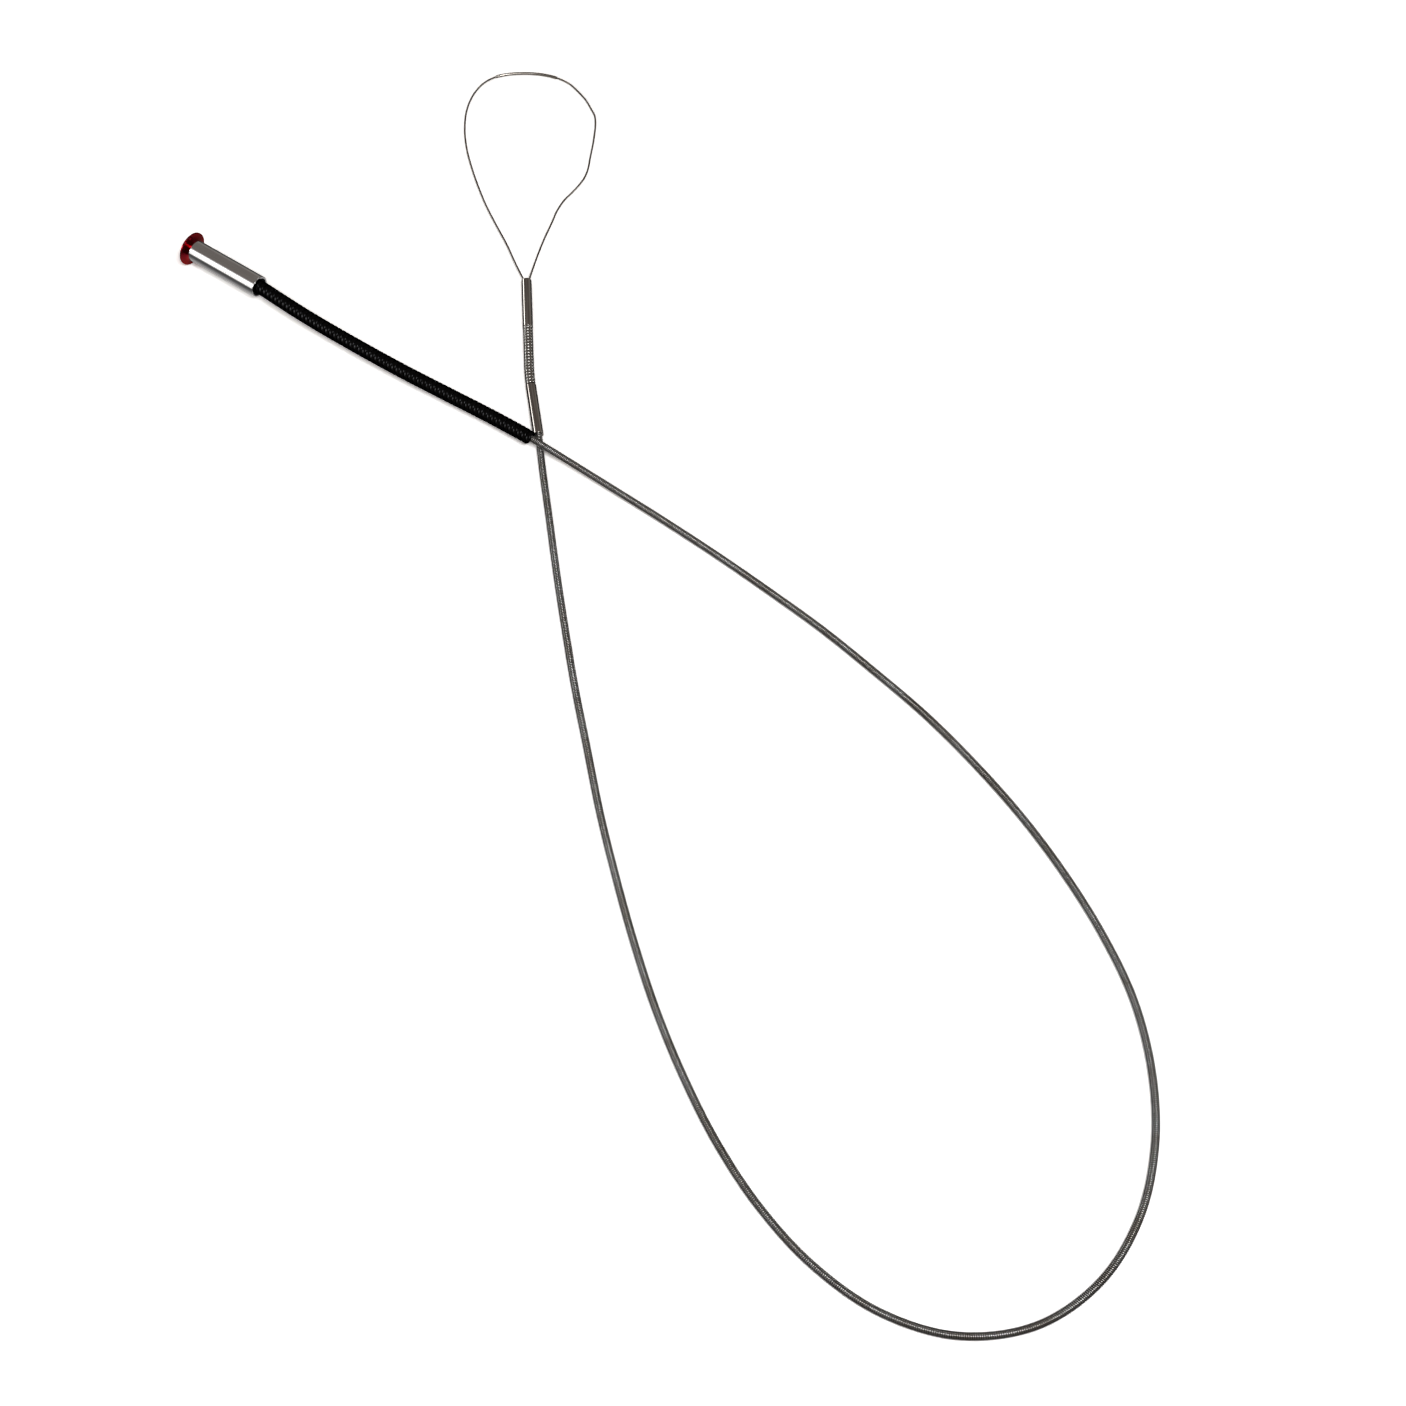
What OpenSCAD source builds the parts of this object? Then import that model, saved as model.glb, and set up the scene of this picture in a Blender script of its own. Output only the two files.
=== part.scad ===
// Pull-type cable shutter release with a wire noose at its tip.
// The origin is the centre of the barrel's button end, +X runs along the barrel towards the cable
// and +Z is up. The part lies on the plane that the button's flange and the cable touch.

/* [Barrel] */
// Outside diameter of the handle's tube
barrel_d = 9.4; // [8.8:0.1:12]
// Length of the handle's tube
barrel_len = 35; // [34:0.5:60]
// Wall of the handle's tube
barrel_wall = 0.8; // [0.5:0.1:1]
// Length of the bush that closes the button end
front_bush_len = 3; // [2:0.5:5]
// Length of the bush that grips the cable
end_bush_len = 11; // [8:0.5:13]
// Depth of the end bush behind the tube's rim
rim_recess = 0.7; // [0.3:0.1:2]

/* [Button] */
// Diameter of the pull button's flange
button_d = 14.8; // [12:0.1:18]
// Thickness of the flange at its rim
flange_rim = 0.55; // [0.4:0.05:1.5]
// Distance from the barrel's end to the back of the rim
flange_rise = 2; // [1.6:0.1:6]
// Diameter of the button's neck where it meets the barrel
neck_d = 6.6; // [5:0.1:7]
// Travel of the button when it is pulled
stroke = 9; // [5:0.5:9]

/* [Plunger] */
// Diameter of the stem
stem_d = 3; // [2.4:0.1:3.4]
// Depth of the stem's seat in the button
stem_seat = 1.4; // [0.8:0.1:2]
// Length of the piston
piston_len = 2.5; // [1.5:0.5:4]
// Diameter of the nipple on the core wire's end
nipple_d = 1.9; // [1.4:0.1:2]
// Length of that nipple
nipple_len = 3.8; // [2:0.2:6]
// Diameter of the core wire
core_d = 0.9; // [0.6:0.1:1]
// Diameter of the return spring's wire
return_wire = 0.6; // [0.4:0.05:0.7]
// Turns of the return spring
return_turns = 7; // [5:1:7]

/* [Cable] */
// Outside diameter of the steel sheath
sheath_d = 3; // [2.5:0.1:3.1]
// Outside diameter of the black guard spring
guard_d = 6.1; // [6:0.1:6.6]
// Diameter of the guard spring's wire
guard_wire = 1.4; // [1:0.1:1.4]
// Length of the guard spring outside the barrel
guard_len = 141.5; // [120:0.5:141.5]
// Depth of the guard spring's seat in the end bush
guard_seat = 5; // [4:0.5:6]
// Turns of the guard spring
guard_turns = 67; // [50:1:67]
// Length of the sleeve that stops the sheath in the barrel
stop_len = 9.5; // [9:0.5:10]

/* [Tip] */
// Outside diameter of the two ferrules
ferrule_d = 4.3; // [4.2:0.1:4.6]
// Length of each ferrule
ferrule_len = 25.5; // [24:0.5:32]
// Bore of the ferrule that the noose leaves
tip_bore_d = 3.4; // [3.3:0.1:3.6]
// Depth of the sheath's seat in the lower ferrule
sheath_seat = 8; // [5:0.5:12]
// Outside diameter of the flex spring
flex_d = 4.2; // [4:0.1:4.2]
// Diameter of the flex spring's wire
flex_wire = 1; // [0.7:0.1:1]
// Length of the flex spring
flex_len = 30.7; // [30:0.1:40]
// Turns of the flex spring
flex_turns = 19; // [15:1:19]
// Angle that the flex spring bends through
flex_bend = 5.5; // [3:0.5:12]

/* [Noose] */
// Diameter of the noose's wire
noose_wire = 0.75; // [0.5:0.05:0.8]
// Outside diameter of the sleeve that joins the wire's ends
splice_d = 1.3; // [1.2:0.1:1.8]
// Length of that sleeve
splice_len = 28; // [20:1:30]
// Length of wire from the slug to that sleeve
splice_from = 136; // [130:1:145]
// Length of the slug that draws the noose
slug_len = 5; // [3:0.5:6]
// Length of the bush that spreads the wires at the mouth
mouth_len = 3; // [2:0.5:4]
// Distance of each wire from the ferrule's axis
leg_offset = 1.1; // [0.8:0.1:1.1]

/* [Fits] */
// Radial clearance of pieces that slide
slide_gap = 0.06; // [0.03:0.01:0.1]
// Clearance of pieces that are seated
seat_gap = 0.02; // [0.01:0.01:0.05]
// Gap between faces that meet but don't press
face_gap = 0.05; // [0.02:0.01:0.1]
// Edge break on turned parts
edge = 0.15; // [0.05:0.05:0.3]

/* [Hidden] */
$fn = 64;
fine = 96;

// Stations along the barrel's axis
bore_r = barrel_d / 2 - barrel_wall;
bush_out = barrel_len - rim_recess;
bush_in = bush_out - end_bush_len;
pocket_floor = bush_out - guard_seat;
stop_start = pocket_floor - stop_len;
stop_flange = 0.8;
stop_wall = 1.2;
piston_gap = 0.3;
piston_end = stop_start - piston_gap;
piston_start = piston_end - piston_len;

// Heights: the handle's axis is at zero and the part lies on floor_z
floor_z = -button_d / 2;
lying_z = floor_z + sheath_d / 2;
tip_z = floor_z + ferrule_d / 2;

// Route of the cable's centre line from the barrel's cable end: x, y, and the lift, which is 1 at
// the handle's axis and 0 where the sheath lies flat
cable_route = [
    [26.5, -1.1, 0.94], [51.5, -1.1, 0.86], [76.5, -0.5, 0.79], [101.5, 0.9, 0.71],
    [121.5, 2, 0.66], [141.5, 2.4, 0.62], [153.5, 2.2, 0.57], [179.5, 2, 0.3],
    [206.5, 1.5, 0.08], [233.5, 0, 0], [260.5, -2.5, 0], [286.5, -5.5, 0], [312.5, -10, 0],
    [339.5, -15.5, 0], [365.5, -23, 0], [390.5, -32, 0], [414.5, -43, 0], [437.5, -56, 0],
    [459.5, -72, 0], [477.5, -91.5, 0], [491.5, -114.5, 0], [499.5, -139.5, 0],
    [499.5, -166, 0], [489.5, -190.5, 0], [470, -208, 0], [445, -216, 0], [418.5, -215.5, 0],
    [392.5, -209, 0], [368, -198.5, 0], [344.5, -185, 0], [322.5, -170, 0], [301.5, -153.5, 0],
    [281, -136, 0], [261, -118, 0], [242, -99.5, 0], [222.5, -80.5, 0], [204, -61.5, 0],
    [185.5, -42, 0], [167.5, -22.5, 0], [149.5, -3, 0.03]
];
// Where the lower ferrule starts, from the same end, and the way it points
ferrule_start = [140.3, 7.2];
ferrule_angle = 133.5;
// Straight stretch of the sheath in front of the ferrule
ferrule_lead = 3;

// Route of the noose's wire from the middle of the ferrule's mouth, the ferrule's axis as x
noose_route = [
    [9.5, 4.3], [21, 8], [32, 12.2], [43, 16.2], [54.5, 19.6], [66, 22.4], [78, 24.6],
    [90, 25.4], [102, 24.3], [108, 22.6], [113.5, 20], [118.5, 16], [121.5, 11.2],
    [122.8, 5.5], [123, -0.5], [122.4, -6.5], [121, -12], [118.5, -17.5], [115, -22],
    [110, -25.7], [105, -28.7], [98.5, -31.3], [94.5, -32.6], [92, -32.8], [82, -31.9],
    [70, -29.8], [60, -27.7], [57.5, -26.7], [53.5, -24.3], [49, -20.9], [45.2, -17.7],
    [43.3, -16.5], [39, -14.2], [33, -12], [22, -7.8], [11, -4.2]
];
noose_reach = 123;
noose_slope = (ferrule_d - splice_d) / 2 / noose_reach;
slug_gap = 1;
slug_face = -mouth_len - slug_gap;
leg_seat = 1.5;
leg_out = 0.4;
// The core wire's tail stays this far inside the ferrule when the noose is drawn in
tail_margin = 0.5;
tail_end = stroke + tail_margin - ferrule_len;

// Curves

function unit(v) = v / norm(v);

// Direction of a smooth curve through points p at point i
function heading(p, i) =
    i == 0 ? unit(p[1] - p[0]) :
    i == len(p) - 1 ? unit(p[i] - p[i - 1]) :
    let (a = p[i] - p[i - 1], b = p[i + 1] - p[i])
    (a / norm(a) * norm(b) + b / norm(b) * norm(a)) / (norm(a) + norm(b));

// Point of that curve at share t of the span after point i
function span_point(p, i, t) =
    let (d = norm(p[i + 1] - p[i]), a = heading(p, i) * d, b = heading(p, i + 1) * d)
    p[i] * (2 * t^3 - 3 * t^2 + 1) + a * (t^3 - 2 * t^2 + t)
        + p[i + 1] * (3 * t^2 - 2 * t^3) + b * (t^3 - t^2);

function smooth(p, steps = 8) = concat(
    [for (i = [0 : len(p) - 2], k = [0 : steps - 1]) span_point(p, i, k / steps)],
    [p[len(p) - 1]]
);

// Running length at each point
function run(p) = [
    for (i = 0, s = 0; i < len(p); i = i + 1, s = s + (i < len(p) ? norm(p[i] - p[i - 1]) : 0)) s
];

// A line is one lookup table per coordinate, by running length
function line(p) = let (s = run(p)) [for (k = [0 : 2]) [for (i = [0 : len(p) - 1]) [s[i], p[i][k]]]];
function line_len(l) = l[0][len(l[0]) - 1][0];
function at(l, s) = [for (k = [0 : 2]) lookup(s, l[k])];
function way(l, s) = unit(at(l, s + 0.5) - at(l, s - 0.5));
function left_of(t) = unit(cross([0, 0, 1], t));

// Corners of a round section of radius r about c, square to direction t, the first on side a
function ring(c, t, a, r, sides) =
    let (b = unit(cross(t, a)), side = cross(b, t))
    [for (k = [0 : sides - 1]) c + r * (cos(360 * k / sides) * side + sin(360 * k / sides) * b)];

// Sections of a round tube along a line, at a list of running lengths
function tube_rings(l, stops, r, sides) = [
    for (s = stops) let (t = way(l, s)) ring(at(l, s), t, left_of(t), r, sides)
];
function even(from, to, count) = [for (i = [0 : count - 1]) from + (to - from) * i / (count - 1)];

// Centre points of a spring wound on a line
steps_per_turn = 8;
function coil(l, from, to, radius, turns) = [
    for (i = [0 : turns * steps_per_turn])
        let (s = from + (to - from) * i / (turns * steps_per_turn), t = way(l, s), a = left_of(t))
        let (turn = 360 * i / steps_per_turn)
        at(l, s) + radius * (cos(turn) * a + sin(turn) * cross(t, a))
];

// Sections of the spring's wire, square to it, with straight ends
function wire_rings(l, from, to, radius, turns, wire) =
    let (p = coil(l, from, to, radius, turns), n = len(p) - 1)
    [for (i = [0 : n])
        let (t = unit(p[min(i + 1, n)] - p[max(i - 1, 0)]), hub = at(l, from + (to - from) * i / n))
        ring(p[i], t, unit(p[i] - hub), wire / 2, 6)];

// Least gap between a spring's turns, from points between half a turn and one and a half apart
function coil_gap(p, wire) = min([
    for (i = [0 : len(p) - 1], k = [steps_per_turn / 2 : steps_per_turn * 3 / 2])
        if (i + k < len(p)) norm(p[i] - p[i + k])
]) - wire;

// Closed skin over a row of sections
module skin(rings) {
    m = len(rings[0]);
    last = (len(rings) - 1) * m;
    walls = [
        for (a = [0 : m : last - m], k = [0 : m - 1])
            let (j = (k + 1) % m, b = a + m)
            each [[a + k, b + k, b + j], [a + k, b + j, a + j]]
    ];
    start_cap = [for (k = [1 : m - 2]) [0, k, k + 1]];
    end_cap = [for (k = [1 : m - 2]) [last, last + k + 1, last + k]];
    polyhedron([for (r = rings) each r], concat(walls, start_cap, end_cap));
}

// Solid turned about the X axis from a profile of [radius, x] points
module turned(profile) {
    rotate([0, 90, 0]) rotate_extrude($fn = fine) polygon(profile);
}

module rod(r, from, to) {
    translate([from, 0, 0]) rotate([0, 90, 0]) cylinder(h = to - from, r = r);
}

// Round hole along X that passes a little over both ends
module hole(r, from, to) {
    rod(r, from - 1, to + 1);
}

// Tube with broken outer edges
module sleeve(r_out, r_in, from, to, break_start, break_end) {
    turned([
        [r_in, from], [r_out - break_start, from], [r_out, from + break_start],
        [r_out, to - break_end], [r_out - break_end, to], [r_in, to]
    ]);
}

// Places on the tip: along the lower ferrule, along the upper one, and out of its mouth
module at_lower() {
    translate([barrel_len + ferrule_start.x, ferrule_start.y, tip_z])
        rotate([0, 0, ferrule_angle]) children();
}

module at_mouth() {
    at_lower() translate(flex_point(flex_len) + [ferrule_len, 0, 0])
        rotate([0, 0, -flex_bend]) translate([ferrule_len, 0, 0]) children();
}

// The flex spring's axis: an arc over its first third, then straight
bend_len = flex_len / 3;
bend_r = bend_len / flex_bend * 180 / PI;
function flex_point(s) =
    let (a = flex_bend * min(s / bend_len, 1), rest = max(s - bend_len, 0))
    [bend_r * sin(a) + rest * cos(a), bend_r * (cos(a) - 1) - rest * sin(a), 0];

// Lines

ferrule_way = [cos(ferrule_angle), sin(ferrule_angle)];
function cable_point(p) = [barrel_len + p.x, p.y, lying_z * (1 - p.z)];
function ferrule_point(s) = concat([barrel_len, 0] + ferrule_start + s * ferrule_way, [tip_z]);
cable_line = line(concat(
    [[pocket_floor, 0, 0], [barrel_len, 0, 0]],
    smooth(concat(
        [[barrel_len + 2, 0, 0]],
        [for (p = cable_route) cable_point(p)],
        [ferrule_point(-ferrule_lead)]
    )),
    [ferrule_point(sheath_seat)]
));
barrel_line = line([[0, 0, 0], [barrel_len, 0, 0]]);
flex_line = line([for (k = [0 : 30]) flex_point(flex_len * k / 30)]);
noose_line = line(concat(
    [[slug_face - leg_seat, leg_offset, 0]],
    smooth(concat(
        [[leg_out, leg_offset, 0]],
        [for (p = noose_route) [p.x, p.y, -noose_slope * p.x]],
        [[leg_out, -leg_offset, 0]]
    ), 6),
    [[slug_face - leg_seat, -leg_offset, 0]]
));
splice_to = splice_from + splice_len;
splice_stops = even(splice_from, splice_to, 12);

guard_radius = (guard_d - guard_wire) / 2;
guard_from = guard_wire / 2 + face_gap;
guard_to = barrel_len - pocket_floor + guard_len - guard_wire / 2;
flex_radius = (flex_d - flex_wire) / 2;
flex_from = flex_wire / 2 + face_gap;
flex_to = flex_len - flex_from;
return_radius = (stem_d / 2 + bore_r) / 2;
return_from = front_bush_len + return_wire / 2 + face_gap;
return_to = piston_start - return_wire / 2 - face_gap;
sheath_rings = 80;
// The wire's rings beside the sleeve, and the ends of the sleeve's bore, lie this far from its ends
splice_lead = 2;

// Handle

module barrel() {
    color("silver") sleeve(barrel_d / 2, bore_r, 0, barrel_len, 0, edge);
}

module front_bush() {
    color("goldenrod") sleeve(bore_r - seat_gap, stem_d / 2 + slide_gap, 0, front_bush_len, edge, edge);
}

module end_bush() {
    color("black") difference() {
        rod(bore_r - seat_gap, bush_in, bush_out);
        hole(stop_r + seat_gap, bush_in, pocket_floor);
        rod(guard_d / 2 + face_gap, pocket_floor, bush_out + 1);
    }
}

// The button: a thin flange that flares from its neck like a trumpet's bell
module pull_button() {
    rim_r = button_d / 2;
    neck_r = neck_d / 2;
    front = -flange_rise - flange_rim;
    neck_len = 0.4;
    flare = [
        for (a = [90 : -10 : 0])
            [rim_r - (rim_r - neck_r) * cos(a), -neck_len - (flange_rise - neck_len) * sin(a)]
    ];
    rim = [for (a = [0 : 30 : 90]) [rim_r - edge + edge * sin(a), front + edge - edge * cos(a)]];
    color("darkred") difference() {
        turned(concat([[0, front]], rim, flare, [[neck_r, -face_gap], [0, -face_gap]]));
        rod(stem_d / 2 + seat_gap, -stem_seat - seat_gap, 1);
    }
}

module stem() {
    color("silver") difference() {
        rod(stem_d / 2, -stem_seat, piston_end);
        rod(nipple_d / 2 + seat_gap, piston_end - nipple_len - seat_gap, piston_end + 1);
    }
}

module piston() {
    color("goldenrod")
        sleeve(bore_r - slide_gap, stem_d / 2 + seat_gap, piston_start, piston_end, edge, edge);
}

module core_nipple() {
    color("goldenrod") difference() {
        rod(nipple_d / 2, piston_end - nipple_len, piston_end);
        hole(core_d / 2 + seat_gap, piston_end - nipple_len, piston_end);
    }
}

// Near end of the core wire, which stays in the stop's bore over the whole travel
core_short = 0.3;
module core_wire() {
    color("silver") rod(core_d / 2, piston_end - nipple_len, pocket_floor - core_short);
}

module return_spring() {
    color("silver")
        skin(wire_rings(barrel_line, return_from, return_to, return_radius, return_turns, return_wire));
}

stop_r = core_d / 2 + slide_gap + stop_wall;
module sheath_stop() {
    color("silver") difference() {
        union() {
            rod(stop_r, stop_start, pocket_floor);
            rod(stop_r + stop_flange, bush_in - stop_flange, bush_in);
        }
        hole(core_d / 2 + slide_gap, stop_start, pocket_floor);
    }
}

// Cable

module guard_spring() {
    color("black")
        skin(wire_rings(cable_line, guard_from, guard_to, guard_radius, guard_turns, guard_wire));
}

module sheath() {
    color("gray")
        skin(tube_rings(cable_line, even(0, line_len(cable_line), sheath_rings), sheath_d / 2, 8));
}

// Tip

module lower_ferrule() {
    color("lightgray") at_lower()
        sleeve(ferrule_d / 2, sheath_d / 2 + face_gap, 0, ferrule_len, edge, edge);
}

module flex_spring() {
    color("gray") at_lower() translate([ferrule_len, 0, 0])
        skin(wire_rings(flex_line, flex_from, flex_to, flex_radius, flex_turns, flex_wire));
}

module upper_ferrule() {
    color("lightgray") at_mouth()
        sleeve(ferrule_d / 2, tip_bore_d / 2, -ferrule_len, 0, edge, edge);
}

// Two small holes for the noose's legs
module leg_holes(from, to) {
    for (y = [-leg_offset, leg_offset]) {
        translate([0, y, 0]) rod(noose_wire / 2 + face_gap, from, to);
    }
}

module mouth_bush() {
    color("dimgray") at_mouth() difference() {
        rod(tip_bore_d / 2 - seat_gap, -mouth_len, 0);
        leg_holes(-mouth_len - 1, 1);
    }
}

module noose_slug() {
    color("silver") at_mouth() difference() {
        rod(tip_bore_d / 2 - slide_gap, slug_face - slug_len, slug_face);
        leg_holes(slug_face - leg_seat - seat_gap, slug_face + 1);
        rod(core_d / 2 + seat_gap, slug_face - slug_len - 1, slug_face - slug_len + leg_seat);
    }
}

// Far end of the core wire, which draws the slug
module core_tail() {
    color("silver") at_mouth() rod(core_d / 2, tail_end, slug_face - slug_len + leg_seat - seat_gap);
}

// The wire's legs are straight inside the ferrule, so they have rings at their ends only
module wire_noose() {
    leg = leg_out + leg_seat - slug_face;
    whole = line_len(noose_line);
    near = even(leg, splice_from - splice_lead, 40);
    far = even(splice_to + splice_lead, whole - leg, 38);
    stops = concat([0], near, splice_stops, far, [whole]);
    color("dimgray") at_mouth() skin(tube_rings(noose_line, stops, noose_wire / 2, 6));
}

module splice_sleeve() {
    bore_stops = concat([splice_from - splice_lead], splice_stops, [splice_to + splice_lead]);
    color("gray") at_mouth() difference() {
        skin(tube_rings(noose_line, splice_stops, splice_d / 2, 8));
        skin(tube_rings(noose_line, bore_stops, noose_wire / 2 + face_gap, 8));
    }
}

// Least gaps of the three springs to themselves
guard_coil = coil(cable_line, guard_from, guard_to, guard_radius, guard_turns);
flex_coil = coil(flex_line, flex_from, flex_to, flex_radius, flex_turns);
return_coil = coil(barrel_line, return_from, return_to, return_radius, return_turns);
echo(guard_gap = coil_gap(guard_coil, guard_wire));
echo(flex_gap = coil_gap(flex_coil, flex_wire));
echo(return_gap = coil_gap(return_coil, return_wire));
echo(cable_len = line_len(cable_line), noose_len = line_len(noose_line));

barrel();
front_bush();
end_bush();
pull_button();
stem();
piston();
core_nipple();
core_wire();
return_spring();
sheath_stop();
guard_spring();
sheath();
lower_ferrule();
flex_spring();
upper_ferrule();
mouth_bush();
noose_slug();
core_tail();
wire_noose();
splice_sleeve();
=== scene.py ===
import math

import bmesh
import bpy
from mathutils import Euler, Matrix, Vector


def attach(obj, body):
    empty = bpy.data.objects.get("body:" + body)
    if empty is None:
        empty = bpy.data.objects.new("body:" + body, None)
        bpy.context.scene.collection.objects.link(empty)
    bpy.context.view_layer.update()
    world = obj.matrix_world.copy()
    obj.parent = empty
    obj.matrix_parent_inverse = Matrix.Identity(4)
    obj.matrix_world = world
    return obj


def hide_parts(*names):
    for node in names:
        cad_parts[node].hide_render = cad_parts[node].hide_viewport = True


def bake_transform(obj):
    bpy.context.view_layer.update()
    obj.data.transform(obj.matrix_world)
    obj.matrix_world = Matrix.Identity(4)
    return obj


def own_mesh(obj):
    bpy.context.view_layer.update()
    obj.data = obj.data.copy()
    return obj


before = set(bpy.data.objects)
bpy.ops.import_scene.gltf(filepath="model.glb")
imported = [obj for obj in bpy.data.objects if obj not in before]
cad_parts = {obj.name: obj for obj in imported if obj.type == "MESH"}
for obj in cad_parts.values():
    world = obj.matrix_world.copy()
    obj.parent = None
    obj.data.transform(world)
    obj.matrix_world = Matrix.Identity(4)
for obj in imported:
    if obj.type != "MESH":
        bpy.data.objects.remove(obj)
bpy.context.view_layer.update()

# ---------------------------------------------------------------- sizes, in metres
# Handle, on the X axis from the button's end of the barrel
MM = 0.001
BARREL_R = 4.7 * MM
BARREL_BORE = 3.9 * MM
BARREL_LEN = 35 * MM
RIM = 0.15 * MM
BUSH_R = BARREL_BORE - 0.02 * MM
BUSH_OUT = 34.3 * MM
BUSH_IN = 23.3 * MM
POCKET_FLOOR = 29.3 * MM
FRONT_BUSH_LEN = 3 * MM
STEM_R = 1.5 * MM
STEM_END = 19.5 * MM
STEM_SEAT = 1.4 * MM
STEM_HOLE = 0.97 * MM
STEM_HOLE_FLOOR = 15.68 * MM
PISTON_START = 17.0 * MM
BUTTON_R = 7.4 * MM
NECK_R = 3.3 * MM
FLANGE_RISE = 2.0 * MM
FLANGE_RIM = 0.55 * MM

# Cable
FLOOR = -7.4 * MM
SHEATH_R = 1.5 * MM
SHEATH_TURN = 0.74 * MM
GUARD_R = 3.05 * MM
GUARD_TURN = 2.15 * MM
GUARD_END = 146.1 * MM
LYING = FLOOR + SHEATH_R

# Tip
FERRULE_R = 2.15 * MM
FERRULE_LEN = 25.5 * MM
LOWER_BORE = 1.55 * MM
UPPER_BORE = 1.7 * MM
SHEATH_SEAT = 8 * MM
FLEX_R = 2.1 * MM
FLEX_LEN = 30.7 * MM
FLEX_BEND = math.radians(5.5)
FLEX_TURNS = 20
BEND_ZONE = 3 * MM
TIP_Z = FLOOR + FERRULE_R

# Noose
NOOSE_R = 0.375 * MM
NOOSE_REACH = 123 * MM
SPLICE_R = 0.65 * MM
SPLICE_BORE = 0.42 * MM
SPLICE_FROM = 136 * MM
SPLICE_LEN = 28 * MM
LEG_OFFSET = 1.1 * MM
LEG_OUT = 0.4 * MM
LEG_BACK = 5.5 * MM

# The cable's route from the barrel's cable end, in millimetres: x, y, and the lift, which is 1 at
# the handle's axis and 0 where the sheath lies flat
CABLE_ROUTE = [
    (26.5, -1.1, 0.94), (51.5, -1.1, 0.86), (76.5, -0.5, 0.79), (101.5, 0.9, 0.71),
    (121.5, 2, 0.66), (141.5, 2.4, 0.62), (153.5, 2.2, 0.57), (179.5, 2, 0.3),
    (206.5, 1.5, 0.08), (233.5, 0, 0), (260.5, -2.5, 0), (286.5, -5.5, 0), (312.5, -10, 0),
    (339.5, -15.5, 0), (365.5, -23, 0), (390.5, -32, 0), (414.5, -43, 0), (437.5, -56, 0),
    (459.5, -72, 0), (477.5, -91.5, 0), (491.5, -114.5, 0), (499.5, -139.5, 0),
    (499.5, -166, 0), (489.5, -190.5, 0), (470, -208, 0), (445, -216, 0), (418.5, -215.5, 0),
    (392.5, -209, 0), (368, -198.5, 0), (344.5, -185, 0), (322.5, -170, 0), (301.5, -153.5, 0),
    (281, -136, 0), (261, -118, 0), (242, -99.5, 0), (222.5, -80.5, 0), (204, -61.5, 0),
    (185.5, -42, 0), (167.5, -22.5, 0), (149.5, -3, 0.03),
]
FERRULE_START = (140.3, 7.2)
FERRULE_ANGLE = math.radians(133.5)
FERRULE_LEAD = 3 * MM

# The noose's route from the ferrule's mouth, in millimetres, the ferrule's axis as x
NOOSE_ROUTE = [
    (9.5, 4.3), (21, 8), (32, 12.2), (43, 16.2), (54.5, 19.6), (66, 22.4), (78, 24.6),
    (90, 25.4), (102, 24.3), (108, 22.6), (113.5, 20), (118.5, 16), (121.5, 11.2),
    (122.8, 5.5), (123, -0.5), (122.4, -6.5), (121, -12), (118.5, -17.5), (115, -22),
    (110, -25.7), (105, -28.7), (98.5, -31.3), (94.5, -32.6), (92, -32.8), (82, -31.9),
    (70, -29.8), (60, -27.7), (57.5, -26.7), (53.5, -24.3), (49, -20.9), (45.2, -17.7),
    (43.3, -16.5), (39, -14.2), (33, -12), (22, -7.8), (11, -4.2),
]


# ---------------------------------------------------------------- lines
def heading(points, i):
    """Direction of a smooth curve through points at point i."""
    if i == 0:
        return (points[1] - points[0]).normalized()
    if i == len(points) - 1:
        return (points[i] - points[i - 1]).normalized()
    a = points[i] - points[i - 1]
    b = points[i + 1] - points[i]
    mixed = a.normalized() * b.length + b.normalized() * a.length
    return mixed / (a.length + b.length)


def smooth(points, steps):
    """Points of a smooth curve through points, steps to a span."""
    made = []
    for i in range(len(points) - 1):
        p, q = points[i], points[i + 1]
        d = (q - p).length
        a, b = heading(points, i) * d, heading(points, i + 1) * d
        for k in range(steps):
            t = k / steps
            made.append(
                p * (2 * t**3 - 3 * t**2 + 1) + a * (t**3 - 2 * t**2 + t)
                + q * (3 * t**2 - 2 * t**3) + b * (t**3 - t**2)
            )
    made.append(points[-1])
    return made


def between(points, start, end):
    """The part of a line from one running length to another."""
    made, s = [], 0.0
    for p, q in zip(points, points[1:]):
        d = (q - p).length
        if s + d > start and s < end:
            if not made:
                made.append(p.lerp(q, max(0.0, (start - s) / d)))
            made.append(p.lerp(q, min(1.0, (end - s) / d)))
        s += d
    return made


def at_length(points, s):
    """Point of a line at a running length from its start."""
    return between(points, 0, max(s, 0.001 * MM))[-1]


def length_of(points):
    return sum((q - p).length for p, q in zip(points, points[1:]))


def cable_line():
    """Centre line of the sheath, from the pocket in the end bush to its seat in the ferrule."""
    way = Vector((math.cos(FERRULE_ANGLE), math.sin(FERRULE_ANGLE), 0))
    start = Vector((BARREL_LEN + FERRULE_START[0] * MM, FERRULE_START[1] * MM, TIP_Z))
    route = [
        Vector((BARREL_LEN + x * MM, y * MM, LYING * (1 - lift))) for x, y, lift in CABLE_ROUTE
    ]
    bend = [Vector((BARREL_LEN + 2 * MM, 0, 0))] + route + [start - way * FERRULE_LEAD]
    return (
        [Vector((POCKET_FLOOR, 0, 0)), Vector((BARREL_LEN, 0, 0))]
        + smooth(bend, steps=24)
        + [start + way * SHEATH_SEAT]
    )


def lower_place():
    """The lower ferrule's frame: its start is the origin and its axis is X."""
    spot = Vector((BARREL_LEN + FERRULE_START[0] * MM, FERRULE_START[1] * MM, TIP_Z))
    return Matrix.Translation(spot) @ Matrix.Rotation(FERRULE_ANGLE, 4, "Z")


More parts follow.
